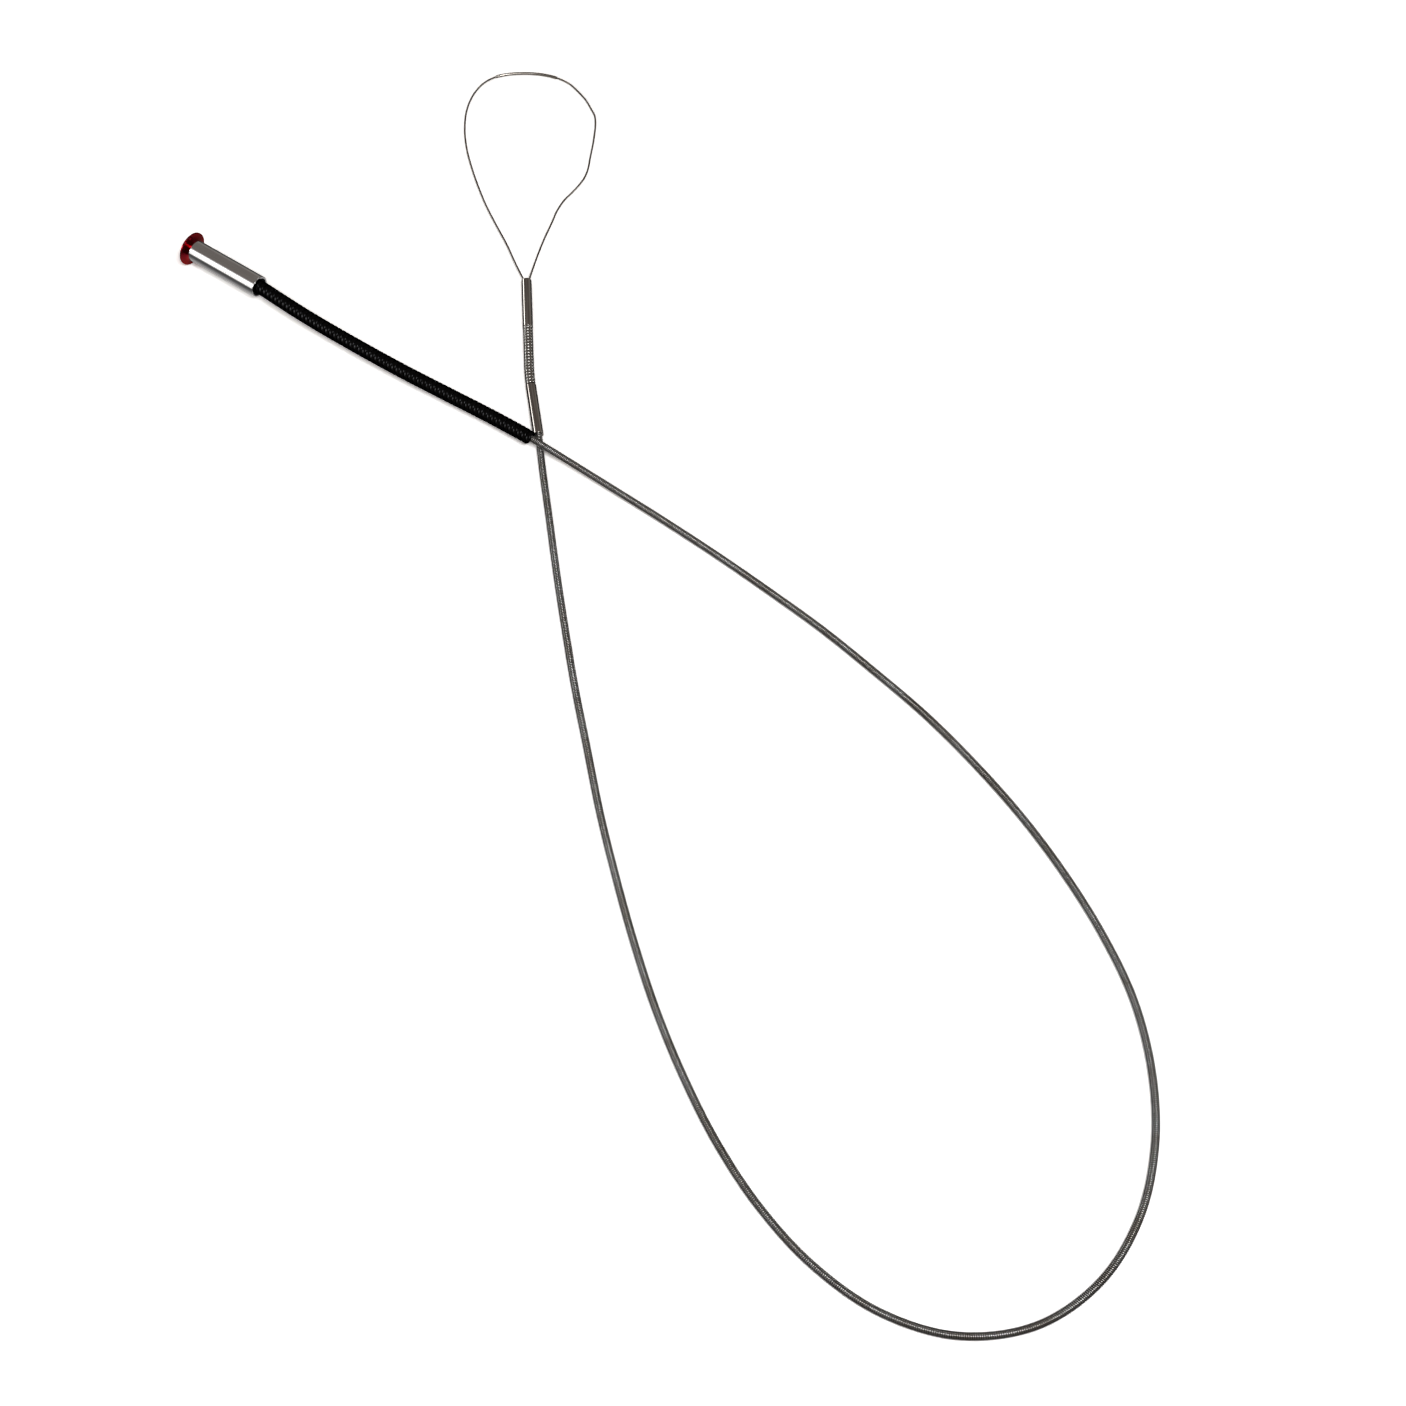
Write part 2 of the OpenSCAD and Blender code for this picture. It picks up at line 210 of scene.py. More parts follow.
def flex_point(s):
    """Point of the flex spring's axis: an arc over its first third, then straight."""
    bend_len = FLEX_LEN / 3
    r = bend_len / FLEX_BEND
    a = FLEX_BEND * min(s / bend_len, 1)
    rest = max(s - bend_len, 0)
    return Vector(
        (r * math.sin(a) + rest * math.cos(a), r * (math.cos(a) - 1) - rest * math.sin(a), 0)
    )


def flex_line():
    place = lower_place() @ Matrix.Translation((FERRULE_LEN, 0, 0))
    steps = 60
    return [place @ flex_point(FLEX_LEN * k / steps) for k in range(steps + 1)]


def mouth_place():
    """The upper ferrule's frame: its mouth is the origin and X points out of it."""
    end = flex_point(FLEX_LEN) + Vector((FERRULE_LEN, 0, 0))
    return (
        lower_place() @ Matrix.Translation(end) @ Matrix.Rotation(-FLEX_BEND, 4, "Z")
        @ Matrix.Translation((FERRULE_LEN, 0, 0))
    )


def noose_line():
    """Centre line of the noose's wire, leg to leg."""
    slope = (FERRULE_R - SPLICE_R) / NOOSE_REACH
    route = [Vector((x * MM, y * MM, -slope * x * MM)) for x, y in NOOSE_ROUTE]
    bend = [Vector((LEG_OUT, LEG_OFFSET, 0))] + route + [Vector((LEG_OUT, -LEG_OFFSET, 0))]
    line = (
        [Vector((-LEG_BACK, LEG_OFFSET, 0))]
        + smooth(bend, steps=10)
        + [Vector((-LEG_BACK, -LEG_OFFSET, 0))]
    )
    place = mouth_place()
    return [place @ p for p in line]


# ---------------------------------------------------------------- camera
def add_object(name, data):
    """A new object in the scene."""
    made = bpy.data.objects.new(name, data)
    bpy.context.collection.objects.link(made)
    return made


def make_camera():
    """The camera fitted to the photograph. It looks 60 degrees down."""
    data = bpy.data.cameras.new("camera")
    data.lens = 57.61
    data.sensor_width = 36
    data.clip_start = 0.01
    camera = add_object("camera", data)
    camera.location = (0.54245, -0.41035, 0.73275)
    camera.rotation_euler = Euler((math.radians(30), 0, math.radians(34.41)))
    bpy.context.scene.camera = camera


make_camera()


# ---------------------------------------------------------------- node wiring
def put(tree, kind, *sources, **settings):
    """Adds a node, gives it settings, and plugs sources into its first inputs in turn: a socket,
    a plain value, or None to leave an input alone."""
    node = tree.nodes.new(kind)
    for name, value in settings.items():
        setattr(node, name, value)
    shown = [socket for socket in node.inputs if socket.enabled]
    for socket, source in zip(shown, sources):
        give(tree, socket, source)
    return node


def give(tree, socket, source):
    if source is None:
        return
    if isinstance(source, bpy.types.NodeSocket):
        tree.links.new(source, socket)
    else:
        socket.default_value = source


def calc(tree, operation, *sources):
    return put(tree, "ShaderNodeMath", *sources, operation=operation).outputs[0]


def vector_calc(tree, operation, *sources):
    node = put(tree, "ShaderNodeVectorMath", operation=operation)
    wanted = (0, 3) if operation == "SCALE" else (0, 1)
    for index, source in zip(wanted, sources):
        give(tree, node.inputs[index], source)
    return node.outputs["Vector"]


def new_group(name, kind, inputs, outputs):
    """A node group with named sockets: (name, type, default value or None)."""
    tree = bpy.data.node_groups.new(name, kind)
    for side, sockets in (("INPUT", inputs), ("OUTPUT", outputs)):
        for socket_name, socket_type, value in sockets:
            made = tree.interface.new_socket(
                socket_name, in_out=side, socket_type="NodeSocket" + socket_type
            )
            if value is not None:
                made.default_value = value
    start = tree.nodes.new("NodeGroupInput")
    end = tree.nodes.new("NodeGroupOutput")
    return tree, start.outputs, end.inputs


# ---------------------------------------------------------------- wound wire
def wire_mesh(tree, given, result, line, section):
    """Ends a tree: a section swept along a line as a closed, smooth wire of the given material."""
    wire = put(tree, "GeometryNodeCurveToMesh", line, section)
    give(tree, wire.inputs["Fill Caps"], True)
    even = put(tree, "GeometryNodeSetShadeSmooth", wire.outputs[0])
    real = put(tree, "GeometryNodeRealizeInstances", even.outputs[0])
    dressed = put(tree, "GeometryNodeSetMaterial", real.outputs[0])
    give(tree, dressed.inputs["Material"], given["Material"])
    tree.links.new(dressed.outputs[0], result["Mesh"])


def wound_wire_tree():
    """A wire wound round a path curve as a spring: turns, radius, and a rounded section."""
    tree, given, result = new_group(
        "Wound wire",
        "GeometryNodeTree",
        [
            ("Path", "Geometry", None),
            ("Turns", "Float", 10.0),
            ("Steps per Turn", "Int", 16),
            ("Coil Radius", "Float", 0.002),
            ("Wire Width", "Float", 0.001),
            ("Wire Height", "Float", 0.001),
            ("Wire Sides", "Int", 8),
            ("Squareness", "Float", 0.0),
            ("End Drop", "Float", 0.0),
            ("Material", "Material", None),
        ],
        [("Mesh", "Geometry", None)],
    )
    steps = calc(tree, "MULTIPLY", given["Turns"], given["Steps per Turn"])
    count = calc(tree, "ADD", calc(tree, "ROUND", steps), 1.0)
    path = put(tree, "GeometryNodeResampleCurve", given["Path"], mode="COUNT")
    give(tree, path.inputs["Count"], count)
    upright = put(tree, "GeometryNodeSetCurveNormal", path.outputs[0], mode="MINIMUM_TWIST")

    index = put(tree, "GeometryNodeInputIndex").outputs[0]
    turn = calc(tree, "DIVIDE", index, given["Steps per Turn"])
    angle = calc(tree, "MULTIPLY", turn, math.tau)
    normal = put(tree, "GeometryNodeInputNormal").outputs["Normal"]
    tangent = put(tree, "GeometryNodeInputTangent").outputs[0]
    across = vector_calc(tree, "CROSS_PRODUCT", tangent, normal)
    outward = vector_calc(
        tree, "ADD",
        vector_calc(tree, "SCALE", normal, calc(tree, "COSINE", angle)),
        vector_calc(tree, "SCALE", across, calc(tree, "SINE", angle)),
    )
    keep = put(tree, "GeometryNodeCaptureAttribute", upright.outputs[0])
    keep.capture_items.new("VECTOR", "Outward")
    give(tree, keep.inputs["Outward"], outward)

    # The last turn at each end draws in by End Drop, so that the spring's ends are closed
    past = calc(tree, "MINIMUM", turn, calc(tree, "SUBTRACT", given["Turns"], turn))
    drop = put(
        tree, "ShaderNodeMapRange", past, 0.0, 1.0, given["End Drop"], 0.0,
        interpolation_type="SMOOTHSTEP",
    )
    reach = calc(tree, "SUBTRACT", given["Coil Radius"], drop.outputs[0])
    helix = put(tree, "GeometryNodeSetPosition", keep.outputs[0])
    give(
        tree, helix.inputs["Offset"],
        vector_calc(tree, "SCALE", keep.outputs["Outward"], reach),
    )
    facing = put(tree, "GeometryNodeSetCurveNormal", helix.outputs[0], mode="FREE")
    give(tree, facing.inputs["Normal"], keep.outputs["Outward"])

    # Crown is 1 along the outside of the wire and 0 where two turns touch
    section = put(tree, "GeometryNodeCurvePrimitiveCircle", mode="RADIUS")
    give(tree, section.inputs["Resolution"], given["Wire Sides"])
    give(tree, section.inputs["Radius"], 1.0)
    place = put(tree, "GeometryNodeInputPosition").outputs[0]
    split = put(tree, "ShaderNodeSeparateXYZ", place)
    marked = put(
        tree, "GeometryNodeStoreNamedAttribute", section.outputs["Curve"], data_type="FLOAT",
        domain="POINT",
    )
    give(tree, marked.inputs["Name"], "crown")
    give(tree, marked.inputs["Value"], split.outputs["X"])
    power = calc(tree, "SUBTRACT", 1.0, given["Squareness"])
    sides = []
    for axis, size in (("Y", "Wire Width"), ("X", "Wire Height")):
        part = split.outputs[axis]
        rounded = calc(tree, "POWER", calc(tree, "ABSOLUTE", part), power)
        signed = calc(tree, "MULTIPLY", rounded, calc(tree, "SIGN", part))
        half = calc(tree, "MULTIPLY", given[size], 0.5)
        sides.append(calc(tree, "MULTIPLY", signed, half))
    shape = put(tree, "ShaderNodeCombineXYZ", sides[1], sides[0], 0.0)
    section = put(tree, "GeometryNodeSetPosition", marked.outputs[0])
    give(tree, section.inputs["Position"], shape.outputs[0])

    wire_mesh(tree, given, result, facing.outputs[0], section.outputs[0])
    return tree


def path_object(name, points):
    data = bpy.data.curves.new(name, "CURVE")
    data.dimensions = "3D"
    spline = data.splines.new("POLY")
    spline.points.add(len(points) - 1)
    for spot, p in zip(spline.points, points):
        spot.co = (*p, 1)
    return add_object(name, data)


def volume_of(mesh):
    made = bmesh.new()
    made.from_mesh(mesh)
    volume = made.calc_volume(signed=True)
    made.free()
    return volume


def along_path(name, tree, points, material, **sizes):
    """Runs a tree on a path and keeps the result as a plain mesh. Sizes are the tree's inputs, with
    underscores for spaces."""
    line = path_object(name + "_line", points)
    modifier = line.modifiers.new("tree", "NODES")
    modifier.node_group = tree
    wanted = {key.replace("_", " ").lower(): value for key, value in sizes.items()}
    wanted["material"] = material
    for item in tree.interface.items_tree:
        if item.in_out == "INPUT" and item.name.lower() in wanted:
            modifier[item.identifier] = wanted[item.name.lower()]
    seen = line.evaluated_get(bpy.context.evaluated_depsgraph_get())
    mesh = bpy.data.meshes.new_from_object(seen)
    mesh.name = name
    line.modifiers.remove(modifier)
    bpy.data.objects.remove(line)
    if volume_of(mesh) < 0:
        mesh.flip_normals()
    return add_object(name, mesh)


# ---------------------------------------------------------------- turned pieces
SHARP = math.radians(32)


def ring(sides):
    """Cosine and sine at each point of a ring."""
    angles = [math.tau * k / sides for k in range(sides)]
    return [(math.cos(a), math.sin(a)) for a in angles]


def closed_solid(name, shape, material, place=None):
    """An object of a closed shape, with smooth faces that break at sharp edges."""
    bmesh.ops.recalc_face_normals(shape, faces=shape.faces)
    for face in shape.faces:
        face.smooth = True
    for edge in shape.edges:
        edge.smooth = len(edge.link_faces) == 2 and edge.calc_face_angle() < SHARP
    mesh = bpy.data.meshes.new(name)
    shape.to_mesh(mesh)
    shape.free()
    if place is not None:
        mesh.transform(place)
    mesh.materials.append(material)
    return add_object(name, mesh)


def turned(name, profile, material, place=None, sides=96):
    """A solid turned about X from a profile of (x, radius) points."""
    shape = bmesh.new()
    rows = []
    for x, r in profile:
        if r == 0:
            rows.append([shape.verts.new((x, 0, 0))])
        else:
            rows.append([shape.verts.new((x, r * c, r * d)) for c, d in ring(sides)])
    hollow = len(rows[0]) > 1
    pairs = list(zip(rows, rows[1:])) + ([(rows[-1], rows[0])] if hollow else [])
    for a, b in pairs:
        for k in range(sides):
            j = (k + 1) % sides
            corners = [a[k % len(a)], a[j % len(a)], b[j % len(b)], b[k % len(b)]]
            corners = list(dict.fromkeys(corners))
            if len(corners) > 2:
                shape.faces.new(corners)
    return closed_solid(name, shape, material, place)


def corner(x, r, toward_x, toward_r, size, steps=3):
    """Points of a small round at a profile's corner, from the X side to the radial side."""
    made = []
    for k in range(steps + 1):
        a = math.pi / 2 * k / steps
        made.append((
            x + toward_x * size * (1 - math.sin(a)),
            r + toward_r * size * (1 - math.cos(a)),
        ))
    return made


def tube_profile(x0, x1, r_in, r_out, size):
    """A tube's profile with small rounds on its four rims, and a row beside each that keeps the
    long walls straight."""
    near, far = x0 + 1.2 * size, x1 - 1.2 * size
    return (
        corner(x0, r_out, 1, -1, size)[::-1] + [(near, r_out), (far, r_out)]
        + corner(x1, r_out, -1, -1, size)
        + corner(x1, r_in, -1, 1, size)[::-1] + [(far, r_in), (near, r_in)]
        + corner(x0, r_in, 1, 1, size)
    )


def along_axis(name, points, sides, profile, material):
    """A closed sleeve turned about a bent line from a profile of (running length, radius)."""
    total = length_of(points)
    reach = 0.5 * MM
    shape = bmesh.new()
    rows = []
    for s, r in profile:
        here = at_length(points, s)
        behind = at_length(points, max(s - reach, 0))
        way = (at_length(points, min(s + reach, total)) - behind).normalized()
        side = Vector((0, 0, 1)).cross(way).normalized()
        up = way.cross(side)
        rows.append([shape.verts.new(here + r * (c * side + d * up)) for c, d in ring(sides)])
    for a, b in zip(rows, rows[1:] + rows[:1]):
        for k in range(sides):
            j = (k + 1) % sides
            shape.faces.new([a[k], a[j], b[j], b[k]])
    return closed_solid(name, shape, material)


# ---------------------------------------------------------------- finishes
def wear_group():
    """Handling marks: soft smudges, fine scratches and a tone that drifts over the surface."""
    tree, given, result = new_group(
        "Handling marks",
        "ShaderNodeTree",
        [
            ("Vector", "Vector", None),
            ("Tone", "Color", (0.5, 0.5, 0.5, 1)),
            ("Stain", "Color", (0.3, 0.3, 0.3, 1)),
            ("Stain Size", "Float", 60.0),
            ("Stain Share", "Float", 0.3),
            ("Roughness", "Float", 0.3),
            ("Roughness Spread", "Float", 0.1),
            ("Scratch Size", "Float", 900.0),
        ],
        [("Color", "Color", None), ("Roughness", "Float", None), ("Height", "Float", None)],
    )
    smudge = put(tree, "ShaderNodeTexNoise", given["Vector"], given["Stain Size"], 3.0, 0.6)
    mask = put(tree, "ShaderNodeMapRange", smudge.outputs["Fac"], 0.42, 0.62, 0.0, 1.0)
    share = calc(tree, "MULTIPLY", mask.outputs[0], given["Stain Share"])
    tone = put(tree, "ShaderNodeMix", data_type="RGBA")
    give(tree, tone.inputs["Factor"], share)
    give(tree, tone.inputs[6], given["Tone"])
    give(tree, tone.inputs[7], given["Stain"])
    tree.links.new(tone.outputs[2], result["Color"])
    fine = put(tree, "ShaderNodeTexNoise", given["Vector"], given["Scratch Size"], 4.0, 0.7)
    swing = calc(tree, "SUBTRACT", fine.outputs["Fac"], 0.5)
    spread = calc(tree, "MULTIPLY", swing, given["Roughness Spread"])
    worn = calc(tree, "MULTIPLY", share, given["Roughness Spread"])
    rough = calc(tree, "ADD", calc(tree, "ADD", given["Roughness"], spread), worn)
    tree.links.new(rough, result["Roughness"])
    tree.links.new(fine.outputs["Fac"], result["Height"])
    return tree


def lathe_group():
    """Fine rings left by turning or drawing: lines across one axis, broken up by noise."""
    tree, given, result = new_group(
        "Turning lines",
        "ShaderNodeTree",
        [
            ("Vector", "Vector", None),
            ("Lines per Metre", "Float", 9000.0),
            ("Break Up", "Float", 0.5),
        ],
        [("Height", "Float", None)],
    )
    split = put(tree, "ShaderNodeSeparateXYZ", given["Vector"])
    stretched = put(
        tree, "ShaderNodeCombineXYZ",
        calc(tree, "MULTIPLY", split.outputs[0], given["Lines per Metre"]), 0.0, 0.0,
    )
    lines = put(tree, "ShaderNodeTexNoise", stretched.outputs[0], 1.0, 3.0, 0.6)
    spots = put(tree, "ShaderNodeTexNoise", given["Vector"], 400.0, 2.0, 0.5)
    swing = calc(tree, "MULTIPLY", spots.outputs["Fac"], given["Break Up"])
    tree.links.new(calc(tree, "ADD", lines.outputs["Fac"], swing), result["Height"])
    return tree


def groove_shade_group():
    """Painted shade between the turns of wound wire: dark and dull away from the wire's crown."""
    tree, given, result = new_group(
        "Grooves",
        "ShaderNodeTree",
        [
            ("Crown", "Float", 1.0),
            ("Color", "Color", (0.5, 0.5, 0.5, 1)),
            ("Groove Color", "Color", (0.02, 0.02, 0.02, 1)),
            ("Roughness", "Float", 0.2),
            ("Groove Roughness", "Float", 0.5),
            ("Start", "Float", 0.1),
            ("End", "Float", 0.7),
        ],
        [("Color", "Color", None), ("Roughness", "Float", None)],
    )
    # Painted shade: towards the grooves, where two turns meet, the colour goes to the groove colour
    # and the surface dulls.
    unshaded = put(
        tree, "ShaderNodeMapRange", given["Crown"], given["Start"], given["End"], 0.0, 1.0,
        interpolation_type="SMOOTHSTEP",
    ).outputs[0]
    tone = put(tree, "ShaderNodeMix", data_type="RGBA")
    give(tree, tone.inputs["Factor"], unshaded)
    give(tree, tone.inputs[6], given["Groove Color"])
    give(tree, tone.inputs[7], given["Color"])
    tree.links.new(tone.outputs[2], result["Color"])
    rough = put(
        tree, "ShaderNodeMapRange", unshaded, 0.0, 1.0, given["Groove Roughness"], given["Roughness"]
    )
    tree.links.new(rough.outputs[0], result["Roughness"])
    return tree


WEAR = wear_group()
LATHE = lathe_group()
GROOVE_SHADE = groove_shade_group()


def use(tree, group, **values):
    """Places a shared group, with its inputs given by name."""
    node = tree.nodes.new("ShaderNodeGroup")
    node.node_tree = group
    for name, value in values.items():
        give(tree, node.inputs[name.replace("_", " ")], value)
    return node.outputs


def new_finish(name, metallic, **shader_values):
    """A material with its shader, whose own sockets take the values that are the same all over."""
    material = bpy.data.materials.new(name)
    material.use_nodes = True
    tree = material.node_tree
    shader = tree.nodes["Principled BSDF"]
    shader.inputs["Metallic"].default_value = metallic
    for key, value in shader_values.items():
        shader.inputs[key.replace("_", " ")].default_value = value
    return material, tree, shader


def on_object(tree, turn=0.0):
    """Object coordinates, turned about Z so that X runs along the piece."""
    spot = tree.nodes.new("ShaderNodeTexCoord").outputs["Object"]
    if not turn:
        return spot
    node = tree.nodes.new("ShaderNodeMapping")
    node.vector_type = "TEXTURE"
    node.inputs["Rotation"].default_value = (0, 0, turn)
    tree.links.new(spot, node.inputs["Vector"])
    return node.outputs[0]


def dress(tree, shader, marks, height, strength, distance=0.05 * MM):
    """Gives a shader the marks' colour and roughness, and a bump from a height."""
    tree.links.new(marks["Color"], shader.inputs["Base Color"])
    tree.links.new(marks["Roughness"], shader.inputs["Roughness"])
    bump = tree.nodes.new("ShaderNodeBump")
    bump.inputs["Strength"].default_value = strength
    bump.inputs["Distance"].default_value = distance
    tree.links.new(height, bump.inputs["Height"])
    tree.links.new(bump.outputs[0], shader.inputs["Normal"])


def in_grooves(tree, marks, groove_shade, start, end):
    """Colour and roughness of wound wire with painted shade in its grooves."""
    crown = put(tree, "ShaderNodeAttribute", attribute_name="crown").outputs["Fac"]
    return use(
        tree, GROOVE_SHADE, Crown=crown, Color=marks["Color"], Groove_Color=(*groove_shade, 1),
        Roughness=marks["Roughness"], Start=start, End=end,
    )


def metal(
    name, tone, stain, roughness, turn=0.0, lines=9000.0, depth=0.15, rim=0.1, stretch=1.0,
    groove_shade=None, unshaded_from=0.1, unshaded_at=0.7, **wear
):
    """Turned or drawn metal: tone and stain drift over it, with fine lines across its axis. Rim is
    how much of the tone is left where the surface turns away, stretch below 1 draws the stains out
    along the axis, and wound wire has painted shade between its turns."""
    material, tree, shader = new_finish(name, 1.0, Specular_Tint=(rim, rim, rim, 1))
    spot = on_object(tree, turn)
    drawn = vector_calc(tree, "MULTIPLY", spot, (stretch, 1, 1)) if stretch != 1 else spot
    marks = use(
        tree, WEAR, Vector=drawn, Tone=(*tone, 1), Stain=(*stain, 1), Roughness=roughness, **wear
    )
    rings = use(tree, LATHE, Vector=spot, Lines_per_Metre=lines)
    height = calc(
        tree, "ADD", rings["Height"], calc(tree, "MULTIPLY", marks["Height"], 0.3)
    )
    # Painted shade: wound wire darkens towards the grooves between its turns.
    if groove_shade:
        marks = in_grooves(tree, marks, groove_shade, unshaded_from, unshaded_at)
    dress(tree, shader, marks, height, depth)
    return material


def blackened(name, tone, stain, roughness, metallic, groove_shade=None, **wear):
    """Blackened wire or moulded plastic with a soft gloss and dust in it; wound wire has painted
    shade between its turns.
    """
    material, tree, shader = new_finish(
        name, metallic, Specular_IOR_Level=0.2, Specular_Tint=(0, 0, 0, 1)
    )
    marks = use(
        tree, WEAR, Vector=on_object(tree), Tone=(*tone, 1), Stain=(*stain, 1),
        Roughness=roughness, **wear
    )
    height = marks["Height"]
    # Painted shade: wound wire darkens towards the grooves between its turns.
    if groove_shade:
        marks = in_grooves(tree, marks, groove_shade, 0.2, 0.8)
    dress(tree, shader, marks, height, 0.05, distance=0.04 * MM)
    return material


def anodised_red():
    """Red anodised aluminium with turning rings on its face."""
    material, tree, shader = new_finish(
        "button_red", 1.0, Coat_Weight=0.25, Coat_Roughness=0.06,
        Specular_Tint=(0.05, 0.05, 0.05, 1),
    )
    spot = on_object(tree)
    marks = use(
        tree, WEAR, Vector=spot, Tone=(0.33, 0.004, 0.016, 1), Stain=(0.18, 0.002, 0.009, 1),
        Stain_Size=220.0, Stain_Share=0.5, Roughness=0.18, Roughness_Spread=0.08,
    )
    split = put(tree, "ShaderNodeSeparateXYZ", spot)
    out = put(tree, "ShaderNodeCombineXYZ", 0.0, split.outputs[1], split.outputs[2])
    radius = put(tree, "ShaderNodeVectorMath", out.outputs[0], operation="LENGTH")
    outward = put(
        tree, "ShaderNodeCombineXYZ", radius.outputs["Value"], split.outputs[0], 0.0
    ).outputs[0]
    rings = use(tree, LATHE, Vector=outward, Lines_per_Metre=7000.0, Break_Up=0.2)
    dress(tree, shader, marks, rings["Height"], 0.06)
    return material


UPPER_ANGLE = FERRULE_ANGLE - FLEX_BEND
ALUMINIUM = metal(
    "barrel_aluminium", (0.77, 0.77, 0.78), (0.68, 0.675, 0.67), 0.11, lines=14000.0, depth=0.02,
    rim=0.5, stretch=0.15, Stain_Size=500.0, Stain_Share=0.4, Roughness_Spread=0.05,
)
BRASS = metal(
    "bush_brass", (0.62, 0.44, 0.18), (0.36, 0.24, 0.09), 0.3, Stain_Size=300.0, Stain_Share=0.5
)
BUSH_BLACK = blackened(
    "bush_black", (0.006, 0.006, 0.006), (0.012, 0.012, 0.012), 0.45, 0.0, Stain_Size=300.0
)
BUTTON_RED = anodised_red()
STEM_STEEL = metal("stem_steel", (0.6, 0.6, 0.6), (0.42, 0.41, 0.39), 0.22, Stain_Size=200.0)
CORE_STEEL = metal("core_steel", (0.45, 0.43, 0.4), (0.26, 0.23, 0.2), 0.35, Stain_Size=200.0)
# Spring, guard and sheath below: their groove colours are painted shade between the wound turns.
SPRING_STEEL = metal(
    "spring_steel", (0.55, 0.54, 0.52), (0.4, 0.37, 0.34), 0.1, turn=UPPER_ANGLE, depth=0.03,
    groove_shade=(0.012, 0.011, 0.010), unshaded_from=0.3, unshaded_at=0.75, Stain_Size=260.0,
    Stain_Share=0.4, Roughness_Spread=0.06,
)
GUARD_BLACK = blackened(
    "guard_black", (0.018, 0.018, 0.019), (0.01, 0.01, 0.01), 0.12, 1.0,
    groove_shade=(0.001, 0.001, 0.001), Stain_Size=350.0, Stain_Share=0.5, Roughness_Spread=0.05,
)
SHEATH_STEEL = metal(
    "sheath_steel", (0.52, 0.525, 0.525), (0.34, 0.3, 0.26), 0.12, depth=0.03,
    groove_shade=(0.02, 0.019, 0.017), unshaded_from=0.1, unshaded_at=0.8, Stain_Size=70.0,
    Stain_Share=0.6, Roughness_Spread=0.06,
)
FERRULE_LOWER, FERRULE_UPPER = [
    metal(
        name, (0.56, 0.53, 0.5), (0.24, 0.205, 0.18), 0.08, turn=turn, lines=3000.0,
        depth=0.015, rim=0.0, stretch=0.02, Stain_Size=1300.0, Stain_Share=0.8,
        Roughness_Spread=0.04,
    )
    for name, turn in (("ferrule_chrome", FERRULE_ANGLE), ("ferrule_chrome_upper", UPPER_ANGLE))
]
MOUTH_STEEL = metal("mouth_steel", (0.22, 0.2, 0.18), (0.12, 0.1, 0.08), 0.4, Stain_Size=400.0)
NOOSE_WIRE = metal(
    "noose_wire", (0.25, 0.22, 0.19), (0.13, 0.10, 0.08), 0.28, Stain_Size=120.0,
    Stain_Share=0.6, depth=0.05,
)
SPLICE_STEEL = metal(
    "splice_steel", (0.5, 0.47, 0.43), (0.3, 0.26, 0.22), 0.2, Stain_Size=200.0
)

# Every CAD node gets its finish, also those that a finished piece stands for
for node_name, finish in (
    ("piston", BRASS), ("core_nipple", BRASS), ("core_wire", CORE_STEEL),
    ("sheath_stop", STEM_STEEL), ("mouth_bush", MOUTH_STEEL), ("noose_slug", STEM_STEEL),
    ("core_tail", CORE_STEEL), ("barrel", ALUMINIUM), ("front_bush", BRASS),
    ("end_bush", BUSH_BLACK), ("pull_button", BUTTON_RED), ("stem", STEM_STEEL),
    ("return_spring", SPRING_STEEL), ("guard_spring", GUARD_BLACK), ("sheath", SHEATH_STEEL),
    ("lower_ferrule", FERRULE_LOWER), ("flex_spring", SPRING_STEEL),
    ("upper_ferrule", FERRULE_UPPER), ("wire_noose", NOOSE_WIRE), ("splice_sleeve", SPLICE_STEEL),
):
    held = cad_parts[node_name].data.materials
    held.clear()
    held.append(finish)


def seat(piece, body, node_name):
    """A finished piece rides on its body and stands for its CAD node."""
    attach(piece, body)
    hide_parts(node_name)
    return piece


# ---------------------------------------------------------------- cable
WOUND = wound_wire_tree()
CABLE = cable_line()


def make_sheath():
    height = 0.52 * MM
    piece = along_path(
        "sheath_coil", WOUND, CABLE, SHEATH_STEEL, turns=length_of(CABLE) / SHEATH_TURN,
        steps_per_turn=16, coil_radius=SHEATH_R - height / 2, wire_width=SHEATH_TURN,
        wire_height=height, wire_sides=4,
    )
    return seat(piece, "handle", "sheath")


def make_guard():
    line = between(CABLE, 0.05 * MM, GUARD_END)
    height = 1.15 * MM
    piece = along_path(
        "guard_coil", WOUND, line, GUARD_BLACK, turns=length_of(line) / GUARD_TURN,
        steps_per_turn=28, coil_radius=GUARD_R - height / 2, wire_width=GUARD_TURN * 0.98,
        wire_height=height, wire_sides=16, squareness=0.42, end_drop=0.15 * MM,
    )
    return seat(piece, "handle", "guard_spring")


sheath = make_sheath()
guard = make_guard()


# ---------------------------------------------------------------- handle
def make_barrel():
    piece = turned(
        "barrel_tube", tube_profile(0, BARREL_LEN, BARREL_BORE, BARREL_R, RIM), ALUMINIUM,
        sides=128,
    )
    return seat(piece, "handle", "barrel")


def make_front_bush():
    piece = turned(
        "front_bush_ring", tube_profile(0, FRONT_BUSH_LEN, STEM_R + 0.06 * MM, BUSH_R, RIM), BRASS
    )
    return seat(piece, "handle", "front_bush")


def make_end_bush():
    """The bush that grips the cable: a pocket for the guard, and a bore for the stop."""
    pocket, bore = GUARD_R + 0.05 * MM, 1.73 * MM
    profile = (
        corner(BUSH_IN, BUSH_R, 1, -1, RIM)[::-1]
        + corner(BUSH_OUT, BUSH_R, -1, -1, RIM)
        + corner(BUSH_OUT, pocket, -1, 1, RIM)[::-1]
        + [(POCKET_FLOOR, pocket), (POCKET_FLOOR, bore), (BUSH_IN, bore)]
    )
    return seat(turned("end_bush_collar", profile, BUSH_BLACK), "handle", "end_bush")


